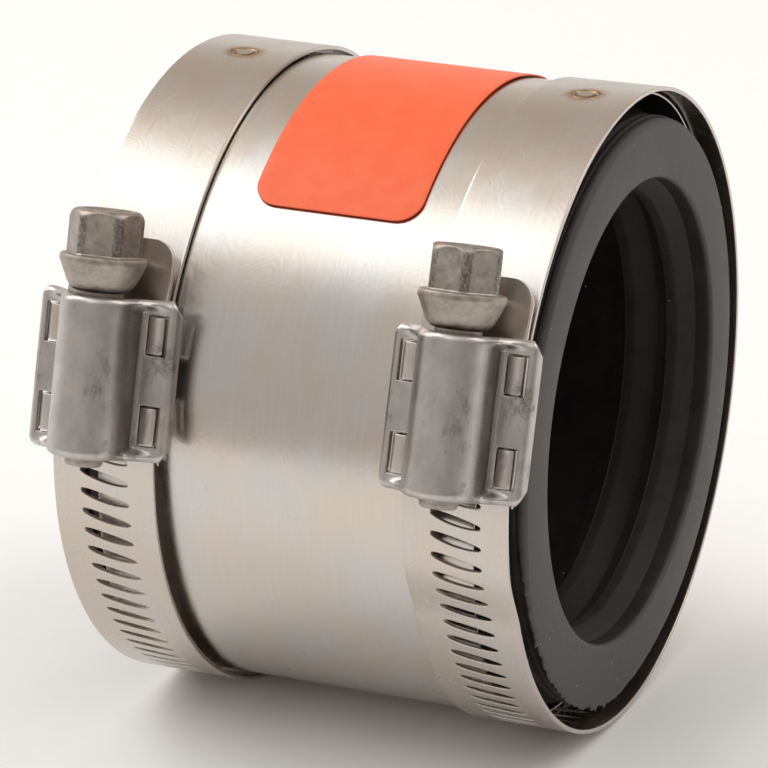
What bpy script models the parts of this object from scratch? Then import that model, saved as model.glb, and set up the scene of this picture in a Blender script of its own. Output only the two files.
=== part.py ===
"""Shielded pipe coupling: a rubber gasket sleeve, a rolled steel shield, a label and two worm-drive clamps.

The bore runs along X, +Z is up and the clamp housings face -Y with their screw heads up.
Each clamp is modelled in its own frame, an empty on the bore axis whose +Z points out
through the housing and whose +Y points along the screw, towards its head.
"""
import math

import bmesh
import bpy
from mathutils import Matrix, Vector

MM = 0.001
DEG = math.pi / 180

# Clamp bands
BAND_WIDTH = 12.7 * MM
BAND_THICKNESS = 0.5 * MM
BAND_CENTRE_X = 21.7 * MM
SLOT_PITCH = 3.78 * DEG
SLOT_LENGTH = 6.0 * MM
SLOT_WIDTH = 1.15 * MM
SLOT_SLANT = 15 * DEG
SLOT_FIRST = 8.0 * DEG
SLOT_COUNT = 37
BAND_END_CORNER = 2.8 * MM

# The two clamps: name, side of the bore, housing's angle above -Y, band's outer radius
CLAMPS = (
    ("left", -1, 15.4 * DEG, 38.9 * MM),
    ("right", 1, 17.2 * DEG, 38.5 * MM),
)

# Travel of the slotted band end, counted in turns of the screw
TURNS_TIGHTER = 3
TURNS_LOOSER = 2
TONGUE_END = 22.8 * DEG
SLOTTED_START = -146 * DEG
FIXED_START = -14.9 * DEG
LIFT = 1.3 * MM
LIFT_START = -48 * DEG
LIFT_END = -26.5 * DEG

# Shield and gasket
SHIELD_RADIUS = 37.75 * MM
SHIELD_THICKNESS = 0.3 * MM
SHIELD_HALF_LENGTH = 23.4 * MM
SHIELD_SKEW = 2.4 * MM
LAP_GAP = 0.25 * MM
LAP_ANGLE = 40 * DEG
LAP_EDGE = 125 * DEG
GASKET_HALF_LENGTH = 28.35 * MM
GASKET_RADIUS = 36.65 * MM
GASKET_END_RADIUS = 35.1 * MM
BORE_RADIUS = {-1: 30.9 * MM, 1: 27.8 * MM}
RIB_HEIGHT = 1.6 * MM
STOP_RADIUS = 25.5 * MM
STOP_HALF_WIDTH = 1.5 * MM

# Label
LABEL_WIDTH = 21.2 * MM
LABEL_CENTRE_X = 0.3 * MM
LABEL_ANGLES = (48.3 * DEG, 118 * DEG)
LABEL_THICKNESS = 0.2 * MM
LABEL_GAP = 0.15 * MM
LABEL_CORNER = 2.6 * MM

# Worm housing, heights above the band's outer face
HOUSING_LENGTH = 18.6 * MM
HOUSING_HALF_WIDTH = 8.7 * MM
HOUSING_THICKNESS = 0.7 * MM
SCREW_HEIGHT = 5.1 * MM
BARREL_RADIUS = 4.4 * MM
FLANGE_HEIGHT = 2.6 * MM
LIP_HEIGHT = 0.7 * MM
WINDOW_LENGTH = 4.6 * MM
WINDOW_OFFSET = 5.2 * MM
WINDOW_INNER_X = 5.2 * MM
WINDOW_OUTER_X = 7.6 * MM

# Saddle
SADDLE_HALF_ANGLE = 13.4 * DEG
SADDLE_HALF_WIDTH = 7.15 * MM
SADDLE_TOP = 0.6 * MM
SADDLE_THICKNESS = 0.4 * MM
TAB_THICKNESS = 0.5 * MM
TAB_CLEARANCE = 0.2 * MM

# Screw, lengths along its axis from the housing's middle
THREAD_PITCH = 2.54 * MM
THREAD_TURNS = 6
THREAD_RADIUS = 3.55 * MM
THREAD_OFFSET = 3.4 * DEG
CORE_RADIUS = 2.7 * MM
SCREW_TIP_Y = -10.4 * MM
SCREW_TIP_RADIUS = 2.2 * MM
COLLAR_START_Y = 10.1 * MM
COLLAR_RIM_Y = 13.0 * MM
HEX_START_Y = 13.8 * MM
HEX_END_Y = 18.9 * MM
COLLAR_NECK_RADIUS = 3.7 * MM
COLLAR_RADIUS = 5.0 * MM
HEX_FLATS = 7.75 * MM
HEX_TURN = 7.8 * DEG

# Spot weld at the top of each band
WELD_RADIUS = 1.5 * MM
WELD_CLEARANCE = 0.2 * MM

ROUND_STEPS = 64
ARC_STEP = 5 * DEG


def clear_scene():
    for obj in list(bpy.data.objects):
        bpy.data.objects.remove(obj, do_unlink=True)


def make_collection(name):
    collection = bpy.data.collections.new(name)
    bpy.context.scene.collection.children.link(collection)
    return collection


def make_material(name, colour, roughness, metallic):
    material = bpy.data.materials.new(name)
    material.use_nodes = True
    shader = material.node_tree.nodes["Principled BSDF"]
    shader.inputs["Base Color"].default_value = (*colour, 1.0)
    shader.inputs["Roughness"].default_value = roughness
    shader.inputs["Metallic"].default_value = metallic
    material.diffuse_color = (*colour, 1.0)
    return material


def add_object(name, bm, collection, material=None, parent=None):
    mesh = bpy.data.meshes.new(name)
    bmesh.ops.recalc_face_normals(bm, faces=bm.faces[:])
    bm.to_mesh(mesh)
    bm.free()
    obj = bpy.data.objects.new(name, mesh)
    collection.objects.link(obj)
    obj.parent = parent
    if material:
        mesh.materials.append(material)
    return obj


def solidify(obj, thickness, offset=-1):
    modifier = obj.modifiers.new("thickness", "SOLIDIFY")
    modifier.thickness = thickness
    modifier.offset = offset
    modifier.use_even_offset = True


def combine(obj, other, operation):
    modifier = obj.modifiers.new(other.name, "BOOLEAN")
    modifier.operation = operation
    modifier.solver = "EXACT"
    modifier.object = other


def smooth_by_angle(obj, angle=35 * DEG):
    mesh = obj.data
    mesh.shade_smooth()
    mesh.set_sharp_from_angle(angle=angle)


def smoothstep(value):
    value = min(max(value, 0), 1)
    return value * value * (3 - 2 * value)


def corner_inset(distance, corner):
    """How far a rounded corner draws the side in, at a distance from the strip's end."""
    if distance >= corner:
        return 0
    return corner - math.sqrt(corner**2 - (corner - distance) ** 2)


def arc_sections(start, end, corner_angles):
    """Angles from start to end, closer together over the rounded corners at the ends."""
    count = math.ceil((end - start) / ARC_STEP)
    angles = [start + (end - start) * i / count for i in range(count + 1)]
    low, high = corner_angles
    for part in (0.0, 0.03, 0.12, 0.28, 0.5, 0.75, 1.0):
        if low:
            angles.append(start + low * part)
        if high:
            angles.append(end - high * part)
    angles = sorted(angles)
    kept = [angles[0]]
    for angle in angles[1:]:
        if angle - kept[-1] > 0.02 * DEG:
            kept.append(angle)
    return kept


def bent_sheet(name, angles, edges, radius, collection, material, parent):
    """An open sheet bent round X, whose edges(angle) gives its two X limits, facing outwards."""
    bm = bmesh.new()
    rows = []
    for angle in angles:
        out = Vector((0, math.sin(angle), math.cos(angle))) * radius(angle)
        rows.append([bm.verts.new(out + Vector((x, 0, 0))) for x in edges(angle)])
    for low, high in zip(rows, rows[1:]):
        bm.faces.new((low[0], low[1], high[1], high[0]))
    first = bm.faces[:][0]
    bm.normal_update()
    if first.normal.dot(first.calc_center_median() * Vector((0, 1, 1))) < 0:
        bmesh.ops.reverse_faces(bm, faces=bm.faces[:])
    mesh = bpy.data.meshes.new(name)
    bm.to_mesh(mesh)
    bm.free()
    obj = bpy.data.objects.new(name, mesh)
    collection.objects.link(obj)
    obj.parent = parent
    if material:
        mesh.materials.append(material)
    return obj


def folded_sheet(name, path, half_lengths, thickness, collection, material, parent, y=0):
    """A sheet folded along Y through the path's (x, z) points, thickened to its inner side."""
    bm = bmesh.new()
    rows = []
    for (x, z), half in zip(path, half_lengths):
        rows.append([bm.verts.new((x, y + side * half, z)) for side in (-1, 1)])
    for low, high in zip(rows, rows[1:]):
        bm.faces.new((low[0], high[0], high[1], low[1]))
    mesh = bpy.data.meshes.new(name)
    bm.to_mesh(mesh)
    bm.free()
    obj = bpy.data.objects.new(name, mesh)
    collection.objects.link(obj)
    obj.parent = parent
    if material:
        mesh.materials.append(material)
    solidify(obj, thickness)
    return obj


def turned(name, profile, closed, collection, material, parent=None, steps=ROUND_STEPS):
    """A profile of (radius, height) points spun about Z with a Screw modifier."""
    bm = bmesh.new()
    verts = [bm.verts.new((radius, 0, height)) for radius, height in profile]
    pairs = list(zip(verts, verts[1:]))
    if closed:
        pairs.append((verts[-1], verts[0]))
    for pair in pairs:
        bm.edges.new(pair)
    obj = add_object(name, bm, collection, material, parent)
    spin = obj.modifiers.new("spin", "SCREW")
    spin.steps = steps
    spin.render_steps = steps
    spin.use_merge_vertices = True
    spin.merge_threshold = 0.01 * MM
    spin.use_smooth_shade = False
    return obj


def gasket_profile():
    """Closed loop of (radius, height): down the outside, then back up through the bore."""
    half = GASKET_HALF_LENGTH
    outside = [
        (GASKET_END_RADIUS - 0.8 * MM, half),
        (GASKET_END_RADIUS, half - 0.8 * MM),
        (GASKET_END_RADIUS, half - 3.4 * MM),
        (GASKET_RADIUS, half - 9 * MM),
    ]
    outside += [(radius, -height) for radius, height in reversed(outside)]
    bore = []
    for side in (-1, 1):
        wall = BORE_RADIUS[side]
        crest = wall - RIB_HEIGHT
        half_bore = [(wall + 0.5 * MM, half), (wall, half - 0.5 * MM)]
        for rib in (2.3 * MM, 7.9 * MM):
            rib_start = half - rib
            half_bore += [
                (wall, rib_start),
                (crest, rib_start - RIB_HEIGHT),
                (crest, rib_start - RIB_HEIGHT - 1.4 * MM),
                (wall, rib_start - RIB_HEIGHT - 1.8 * MM),
            ]
        half_bore += [(wall, STOP_HALF_WIDTH), (STOP_RADIUS, STOP_HALF_WIDTH)]
        if side < 0:
            bore += [(radius, -height) for radius, height in half_bore]
        else:
            bore += half_bore[::-1]
    return outside + bore


def make_gasket(collection):
    rubber = make_material("black_rubber", (0.018, 0.017, 0.016), 0.62, 0.0)
    gasket = turned("gasket", gasket_profile(), True, collection, rubber)
    gasket.rotation_euler = (0, math.pi / 2, 0)
    smooth_by_angle(gasket)


def make_shield(collection):
    """One rolled sheet, whose inner leaf runs on under the outer leaf's edge."""
    steel = make_material("shield_steel", (0.62, 0.60, 0.57), 0.28, 1.0)
    total = 2 * math.pi + LAP_ANGLE
    step_down = SHIELD_THICKNESS + LAP_GAP
    ramp = 14 * DEG

    def turned_so_far(angle):
        return angle - LAP_EDGE

    def radius(angle):
        past = turned_so_far(angle) - (2 * math.pi - ramp - 1 * DEG)
        return SHIELD_RADIUS - step_down * smoothstep(past / ramp)

    def edges(angle):
        height = math.cos(angle)
        shift = SHIELD_SKEW * height
        return shift - SHIELD_HALF_LENGTH, shift + SHIELD_HALF_LENGTH

    count = round(total / ARC_STEP)
    angles = [LAP_EDGE + total * i / count for i in range(count + 1)]
    shield = bent_sheet("shield", angles, edges, radius, collection, steel, None)
    solidify(shield, SHIELD_THICKNESS)
    smooth_by_angle(shield)


def make_label(collection):
    """The label's angles are counted from -Y, the sheet's from +Z."""
    paper = make_material("label_orange", (0.95, 0.17, 0.06), 0.5, 0.0)
    radius = SHIELD_RADIUS + LABEL_GAP + LABEL_THICKNESS
    start, end = (angle - math.pi / 2 for angle in LABEL_ANGLES)

    def edges(angle):
        distance = min(angle - start, end - angle) * radius
        half = LABEL_WIDTH / 2 - corner_inset(distance, LABEL_CORNER)
        return LABEL_CENTRE_X - half, LABEL_CENTRE_X + half

    corner = LABEL_CORNER / radius
    angles = arc_sections(start, end, (corner, corner))
    label = bent_sheet("label", angles, edges, lambda angle: radius, collection, paper, None)
    solidify(label, LABEL_THICKNESS)
    smooth_by_angle(label)


def make_fixed_band(name, frame, band_radius, weld_angle, collection, cutters, steel):
    """The part of the strip from under the housing, over the top and down the back."""
    travel = (TURNS_LOOSER + 0.14) * SLOT_PITCH
    end = 2 * math.pi + SLOTTED_START - travel
    angles = arc_sections(FIXED_START, end, (0, 0))
    half = BAND_WIDTH / 2
    band = bent_sheet(
        f"band_{name}", angles, lambda angle: (-half, half), lambda angle: band_radius,
        collection, steel, frame,
    )
    solidify(band, BAND_THICKNESS)
    bm = bmesh.new()
    bmesh.ops.create_cone(
        bm, cap_ends=True, segments=20, depth=4 * MM,
        radius1=WELD_RADIUS + WELD_CLEARANCE, radius2=WELD_RADIUS + WELD_CLEARANCE,
        matrix=Matrix.Rotation(-weld_angle, 4, "X") @ Matrix.Translation((0, 0, band_radius)),
    )
    hole = add_object(f"cut_weld_{name}", bm, cutters, None, frame)
    combine(band, hole, "DIFFERENCE")
    smooth_by_angle(band)


def make_slotted_band(name, frame, band_radius, collection, cutters, steel):
    """The slotted end of the strip, which the worm draws through the housing."""
    def radius(angle):
        return band_radius + LIFT * smoothstep((angle - LIFT_START) / (LIFT_END - LIFT_START))

    def edges(angle):
        distance = (TONGUE_END - angle) * band_radius
        half = BAND_WIDTH / 2 - corner_inset(distance, BAND_END_CORNER)
        return -half, half

    corner = BAND_END_CORNER / band_radius
    angles = arc_sections(SLOTTED_START, TONGUE_END, (0, corner))
    band = bent_sheet(f"band_end_{name}", angles, edges, radius, collection, steel, frame)
    solidify(band, BAND_THICKNESS)
    bm = bmesh.new()
    for index in range(SLOT_COUNT):
        angle = SLOT_FIRST - index * SLOT_PITCH
        place = (
            Matrix.Rotation(-angle, 4, "X")
            @ Matrix.Translation((0, 0, radius(angle)))
            @ Matrix.Rotation(-SLOT_SLANT, 4, "Z")
            @ Matrix.Diagonal((SLOT_LENGTH / 2, SLOT_WIDTH / 2, 1, 1))
        )
        bmesh.ops.create_cone(
            bm, cap_ends=True, segments=8, radius1=1, radius2=1, depth=3 * MM, matrix=place
        )
    slots = add_object(f"cut_slots_{name}", bm, cutters, None, frame)
    combine(band, slots, "DIFFERENCE")
    smooth_by_angle(band)


def housing_path(band_radius):
    """Half of the housing's outline, from the barrel's crown to the foot of the lip."""
    crown = band_radius + SCREW_HEIGHT
    flange = band_radius + FLANGE_HEIGHT
    path = []
    for index in range(7):
        angle = math.pi / 2 * index / 6
        path.append((BARREL_RADIUS * math.sin(angle), crown + BARREL_RADIUS * math.cos(angle)))
    path += [
        (BARREL_RADIUS, flange + 0.7 * MM),
        (BARREL_RADIUS + 0.2 * MM, flange + 0.2 * MM),
        (BARREL_RADIUS + 0.7 * MM, flange),
        (HOUSING_HALF_WIDTH - 0.8 * MM, flange),
        (HOUSING_HALF_WIDTH - 0.2 * MM, flange - 0.25 * MM),
        (HOUSING_HALF_WIDTH, flange - 0.8 * MM),
        (HOUSING_HALF_WIDTH, band_radius + LIP_HEIGHT),
    ]
    return path


def make_housing(name, frame, band_radius, collection, cutters, steel):
    half = HOUSING_LENGTH / 2
    path = housing_path(band_radius)
    half_lengths = [half] * (len(path) - 3) + [half - 0.3 * MM, half - 1 * MM, half - 1.6 * MM]
    housing = folded_sheet(
        f"housing_{name}", path, half_lengths, HOUSING_THICKNESS, collection, steel, frame
    )
    mirror = housing.modifiers.new("mirror", "MIRROR")
    mirror.merge_threshold = 0.01 * MM
    housing.modifiers.move(housing.modifiers.find("mirror"), 0)
    bm = bmesh.new()
    width = WINDOW_OUTER_X - WINDOW_INNER_X
    middle = (WINDOW_OUTER_X + WINDOW_INNER_X) / 2
    for side in (-1, 1):
        for end in (-1, 1):
            place = Matrix.Translation(
                (side * middle, end * WINDOW_OFFSET, band_radius + FLANGE_HEIGHT)
            )
            bmesh.ops.create_cube(
                bm, size=1, matrix=place @ Matrix.Diagonal((width, WINDOW_LENGTH, 4 * MM, 1))
            )
    windows = add_object(f"cut_windows_{name}", bm, cutters, None, frame)
    combine(housing, windows, "DIFFERENCE")
    smooth_by_angle(housing)


def make_saddle(name, frame, band_radius, collection, cutters, steel):
    """The curved plate under the slotted strip, with four tabs folded into the windows."""
    angles = arc_sections(-SADDLE_HALF_ANGLE, SADDLE_HALF_ANGLE, (0, 0))
    saddle = bent_sheet(
        f"saddle_{name}", angles, lambda angle: (-SADDLE_HALF_WIDTH, SADDLE_HALF_WIDTH),
        lambda angle: band_radius + SADDLE_TOP, collection, steel, frame,
    )
    solidify(saddle, SADDLE_THICKNESS)
    top = band_radius + FLANGE_HEIGHT + 0.05 * MM
    path = [
        (SADDLE_HALF_WIDTH, band_radius - 0.3 * MM),
        (SADDLE_HALF_WIDTH, top),
        (WINDOW_INNER_X + TAB_CLEARANCE, top),
    ]
    half = [WINDOW_LENGTH / 2 - TAB_CLEARANCE] * len(path)
    for end in (-1, 1):
        tab = folded_sheet(
            f"tab_{name}_{end}", path, half, TAB_THICKNESS, cutters, None, frame,
            y=end * WINDOW_OFFSET,
        )
        tab.data.flip_normals()
        mirror = tab.modifiers.new("mirror", "MIRROR")
        mirror.merge_threshold = 0.01 * MM
        combine(saddle, tab, "UNION")
    smooth_by_angle(saddle)


def make_thread(name, parent, collection):
    """A trapezoid swept up a right-hand helix about Z."""
    bm = bmesh.new()
    root = CORE_RADIUS - 0.3 * MM
    start = -THREAD_PITCH * THREAD_TURNS / 2
    outline = (
        (root, -0.8 * MM), (THREAD_RADIUS, -0.3 * MM), (THREAD_RADIUS, 0.3 * MM), (root, 0.8 * MM)
    )
    section = bm.faces.new([bm.verts.new((radius, 0, start + z)) for radius, z in outline])
    steps = 16 * THREAD_TURNS
    bmesh.ops.spin(
        bm, geom=[section, *section.edges, *section.verts], cent=(0, 0, 0), axis=(0, 0, 1),
        dvec=(0, 0, THREAD_PITCH * THREAD_TURNS / steps),
        angle=2 * math.pi * THREAD_TURNS, steps=steps,
    )
    thread = add_object(name, bm, collection, None, parent)
    thread.rotation_euler = (0, 0, THREAD_OFFSET)
    return thread


def make_screw(name, frame, band_radius, collection, cutters):
    """Worm, conical collar and hexagon head in one, spinning about its own local Z."""
    steel = make_material(f"screw_steel_{name}", (0.42, 0.39, 0.36), 0.42, 1.0)
    profile = [
        (0, HEX_START_Y + 0.5 * MM),
        (3 * MM, HEX_START_Y + 0.5 * MM),
        (3 * MM, HEX_START_Y),
        (COLLAR_RADIUS - 0.3 * MM, HEX_START_Y),
        (COLLAR_RADIUS, HEX_START_Y - 0.3 * MM),
        (COLLAR_RADIUS, COLLAR_RIM_Y),
        (COLLAR_NECK_RADIUS + 0.25 * MM, COLLAR_START_Y + 0.4 * MM),
        (COLLAR_NECK_RADIUS - 0.3 * MM, COLLAR_START_Y),
        (CORE_RADIUS, COLLAR_START_Y),
        (CORE_RADIUS, -HOUSING_LENGTH / 2),
        (SCREW_TIP_RADIUS, -HOUSING_LENGTH / 2 - 0.4 * MM),
        (SCREW_TIP_RADIUS, SCREW_TIP_Y),
        (0, SCREW_TIP_Y),
    ]
    screw = turned(f"screw_{name}", profile, False, collection, steel, frame, steps=24)
    screw.location = (0, 0, band_radius + SCREW_HEIGHT)
    screw.rotation_euler = (-math.pi / 2, 0, 0)
    bm = bmesh.new()
    corner = HEX_FLATS / math.sqrt(3)
    chamfer = 0.5 * MM
    shaft = HEX_END_Y - chamfer - (HEX_START_Y - 0.2 * MM)
    middle = HEX_START_Y - 0.2 * MM + shaft / 2
    turn = Matrix.Rotation(HEX_TURN + math.pi / 6, 4, "Z")
    bmesh.ops.create_cone(
        bm, cap_ends=True, segments=6, radius1=corner, radius2=corner, depth=shaft,
        matrix=Matrix.Translation((0, 0, middle)) @ turn,
    )
    top = max(bm.faces, key=lambda face: face.calc_center_median().z)
    raised = bmesh.ops.extrude_discrete_faces(bm, faces=[top])["faces"][0]
    bmesh.ops.scale(bm, vec=(0.88, 0.88, 1), verts=raised.verts)
    bmesh.ops.translate(bm, vec=(0, 0, chamfer), verts=raised.verts)
    head = add_object(f"hex_{name}", bm, cutters, None, screw)
    thread = make_thread(f"thread_{name}", screw, cutters)
    combine(screw, head, "UNION")
    combine(screw, thread, "UNION")
    smooth_by_angle(screw, 25 * DEG)


def make_weld(name, frame, band_radius, weld_angle, collection):
    """The fused spot that holds the band's fixed side to the shield."""
    steel = make_material(f"weld_steel_{name}", (0.36, 0.26, 0.18), 0.4, 1.0)
    base = SHIELD_RADIUS + WELD_CLEARANCE / 2
    height = band_radius - 0.1 * MM - base
    bm = bmesh.new()
    bmesh.ops.create_cone(
        bm, cap_ends=True, segments=20, radius1=WELD_RADIUS, radius2=WELD_RADIUS, depth=height
    )
    weld = add_object(f"weld_{name}", bm, collection, steel, frame)
    weld.rotation_euler = (-weld_angle, 0, 0)
    out = Vector((0, math.sin(weld_angle), math.cos(weld_angle)))
    weld.location = out * (base + height / 2)
    smooth_by_angle(weld)


def make_clamp(name, side, clamp_angle, band_radius, collection, cutters):
    frame = bpy.data.objects.new(f"clamp_frame_{name}", None)
    collection.objects.link(frame)
    frame.location = (side * BAND_CENTRE_X, 0, 0)
    frame.rotation_euler = (math.pi / 2 - clamp_angle, 0, 0)
    band_steel = make_material(f"band_steel_{name}", (0.60, 0.57, 0.53), 0.3, 1.0)
    end_steel = make_material(f"band_end_steel_{name}", (0.60, 0.57, 0.53), 0.32, 1.0)
    housing_steel = make_material(f"housing_steel_{name}", (0.45, 0.43, 0.41), 0.4, 1.0)
    saddle_steel = make_material(f"saddle_steel_{name}", (0.48, 0.45, 0.42), 0.4, 1.0)
    weld_angle = math.pi / 2 - clamp_angle
    make_fixed_band(name, frame, band_radius, weld_angle, collection, cutters, band_steel)
    make_slotted_band(name, frame, band_radius, collection, cutters, end_steel)
    make_housing(name, frame, band_radius, collection, cutters, housing_steel)
    make_saddle(name, frame, band_radius, collection, cutters, saddle_steel)
    make_screw(name, frame, band_radius, collection, cutters)
    make_weld(name, frame, band_radius, weld_angle, collection)


def main():
    clear_scene()
    collection = make_collection("shielded_coupling")
    cutters = make_collection("cutters")
    make_gasket(collection)
    make_shield(collection)
    make_label(collection)
    for name, side, clamp_angle, band_radius in CLAMPS:
        make_clamp(name, side, clamp_angle, band_radius, collection, cutters)
    for cutter in cutters.objects:
        cutter.hide_render = True
        cutter.display_type = "WIRE"
    bpy.context.view_layer.update()


main()
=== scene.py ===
"""Looks of the shielded pipe coupling: rubber sleeve, rolled shield, label and two worm-drive clamps.

The bore runs along X, +Z is up and the clamp housings face -Y, as in the CAD model.
Each clamp's pieces are shaped in its own frame: local X runs along the bore, local Z
points out through the housing and local Y runs along the screw, towards its head.
Every mesh is then brought into the row frame, so that the pieces' objects stay at the origin.
"""

import math

import bmesh
import bpy
from mathutils import Matrix, Vector, noise


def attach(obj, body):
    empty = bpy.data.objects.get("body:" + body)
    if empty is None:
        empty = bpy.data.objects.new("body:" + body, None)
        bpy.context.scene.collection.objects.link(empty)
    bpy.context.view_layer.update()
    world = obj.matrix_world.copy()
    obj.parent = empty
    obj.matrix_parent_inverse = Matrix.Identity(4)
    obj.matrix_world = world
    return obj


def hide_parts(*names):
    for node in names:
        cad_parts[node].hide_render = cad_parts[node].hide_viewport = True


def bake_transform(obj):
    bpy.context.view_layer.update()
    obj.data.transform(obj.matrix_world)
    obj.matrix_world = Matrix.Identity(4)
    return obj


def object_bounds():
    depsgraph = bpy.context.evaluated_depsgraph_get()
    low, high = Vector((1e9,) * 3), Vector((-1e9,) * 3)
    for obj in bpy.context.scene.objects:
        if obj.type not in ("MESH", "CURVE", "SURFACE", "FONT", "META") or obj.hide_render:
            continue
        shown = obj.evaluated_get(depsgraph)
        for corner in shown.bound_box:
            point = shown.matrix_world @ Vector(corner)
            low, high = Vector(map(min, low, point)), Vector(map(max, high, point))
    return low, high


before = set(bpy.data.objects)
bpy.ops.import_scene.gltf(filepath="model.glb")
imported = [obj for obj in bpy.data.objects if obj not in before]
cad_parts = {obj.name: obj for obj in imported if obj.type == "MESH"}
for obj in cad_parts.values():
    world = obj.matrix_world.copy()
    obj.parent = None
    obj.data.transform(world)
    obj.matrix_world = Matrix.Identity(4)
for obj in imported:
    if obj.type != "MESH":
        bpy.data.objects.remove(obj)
cad_low, cad_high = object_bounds()

MM = 0.001
DEG = math.pi / 180

# Clamps: name, side of the bore, housing's angle above -Y, band's outer radius
CLAMPS = (
    ("left", -1, 15.4 * DEG, 38.9 * MM),
    ("right", 1, 17.2 * DEG, 38.5 * MM),
)
BAND_CENTRE_X = 21.7 * MM
BAND_WIDTH = 12.7 * MM
BAND_THICKNESS = 0.5 * MM
SLOT_PITCH = 3.78 * DEG
SLOT_SLANT = 11.5 * DEG
SLOT_FIRST = 9.0 * DEG
SLOT_COUNT = 37
SLOT_LEFT = -2.95 * MM
SLOT_RIGHT = 3.1 * MM
SLOT_HALF_WIDTH = 0.56 * MM
SHRINK = 0.03 * MM
TONGUE_END = 22.8 * DEG
TONGUE_CORNER = 2.8 * MM
FIXED_START = -14.9 * DEG
STRIP_SEAM = 130 * DEG
LIFT = 1.3 * MM
LIFT_START = {"left": -76 * DEG, "right": -38 * DEG}
LIFT_END = -26.5 * DEG
STRIP_DIP = {"left": 0.35 * MM, "right": 0.10 * MM}
STRIP_FLARE = {"left": -0.06 * MM, "right": 0.22 * MM}
TONGUE_FLAT_START = 9 * DEG
TONGUE_CURVE = 0.15

# Shield, gasket and label
SHIELD_RADIUS = 37.75 * MM
SHIELD_THICKNESS = 0.3 * MM
SHIELD_HALF_LENGTH = 23.4 * MM
SHIELD_SKEW = 2.4 * MM
LAP_STEP = 0.55 * MM
LAP_ANGLE = 40 * DEG
LAP_EDGE = 125 * DEG
GASKET_HALF_LENGTH = 28.35 * MM
GASKET_RADIUS = 36.65 * MM
GASKET_END_RADIUS = 35.1 * MM
BORE_RADIUS = {-1: 30.9 * MM, 1: 27.8 * MM}
STOP_RADIUS = 25.5 * MM
LABEL_WIDTH = 20.6 * MM
LABEL_CENTRE_X = 0.6 * MM
LABEL_ANGLES = (48.9 * DEG, 117.8 * DEG)
LABEL_RADIUS = 38.1 * MM
LABEL_THICKNESS = 0.2 * MM
LABEL_CORNER = 3.0 * MM

# Worm housing, saddle and screw; heights are above the band's outer face
HOUSING_HALF_LENGTH = 9.3 * MM
HOUSING_THICKNESS = 0.7 * MM
SCREW_HEIGHT = 5.1 * MM
BARREL_RADIUS = 4.4 * MM
FLANGE_HEIGHT = 2.6 * MM
WINDOW_X = (5.2 * MM, 7.6 * MM)
WINDOW_Y = (2.9 * MM, 7.5 * MM)
HOUSING_TURN = 0.9 * MM
SADDLE_HALF_LENGTH = 9.0 * MM
SADDLE_HALF_WIDTH = 7.3 * MM
SADDLE_THICKNESS = 0.4 * MM
HEX_HALF_FLATS = 3.875 * MM
HEX_CORNER_RADIUS = 4.3 * MM
HEX_TURN = {"left": -15 * DEG, "right": 7.8 * DEG}
HEX_START = 13.8 * MM
HEX_END = 18.9 * MM
THREAD_PITCH = 2.54 * MM
THREAD_HALF = 7.62 * MM
THREAD_RADIUS = 3.55 * MM
CORE_RADIUS = 2.7 * MM
HEX_DOME = 1.2 * MM
WELD_RADIUS = 1.7 * MM

# Floor and camera
FLOOR_SIZE = 6.0
FLOOR_FRONT = -0.24
CAMERA_AZIMUTH = 22.996 * DEG
CAMERA_ELEVATION = 20.072 * DEG
CAMERA_DISTANCE = 588.2 * MM
CAMERA_ASIDE = -3.4 * MM
CAMERA_RAISED = -0.5 * MM
LENS = 229.49


# ---------------------------------------------------------------- small helpers

def smoothstep(value):
    value = min(max(value, 0), 1)
    return value * value * (3 - 2 * value)


def mix(a, b, share):
    return a + (b - a) * share


def spread(start, end, count):
    """count + 1 evenly spaced values from start to end."""
    return [start + (end - start) * i / count for i in range(count + 1)]


def eased(start, end, count):
    """count + 1 values from start to end, closer together at both ends."""
    middle, half = (start + end) / 2, (end - start) / 2
    return [middle - half * math.cos(math.pi * i / count) for i in range(count + 1)]


def both_ways(half):
    """Values from 0 up, with their negatives before them."""
    return [-value for value in reversed(half[1:])] + half


def arc(centre, radius, start, end, count):
    """Points (x, z) on an arc, whose angles run from +X towards +Z."""
    return [
        (centre[0] + radius * math.cos(a), centre[1] + radius * math.sin(a))
        for a in spread(start, end, count)
    ]


def corner_inset(distance, corner):
    """How far a rounded corner draws the side in, at a distance from the sheet's end."""
    if distance >= corner:
        return 0
    distance = max(distance, 0)
    return corner - math.sqrt(corner**2 - (corner - distance) ** 2)


def clamp_matrix(side, angle):
    """From a clamp's own frame to the row frame."""
    place = Matrix.Translation((side * BAND_CENTRE_X, 0, 0))
    return place @ Matrix.Rotation(math.pi / 2 - angle, 4, "X")


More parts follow.
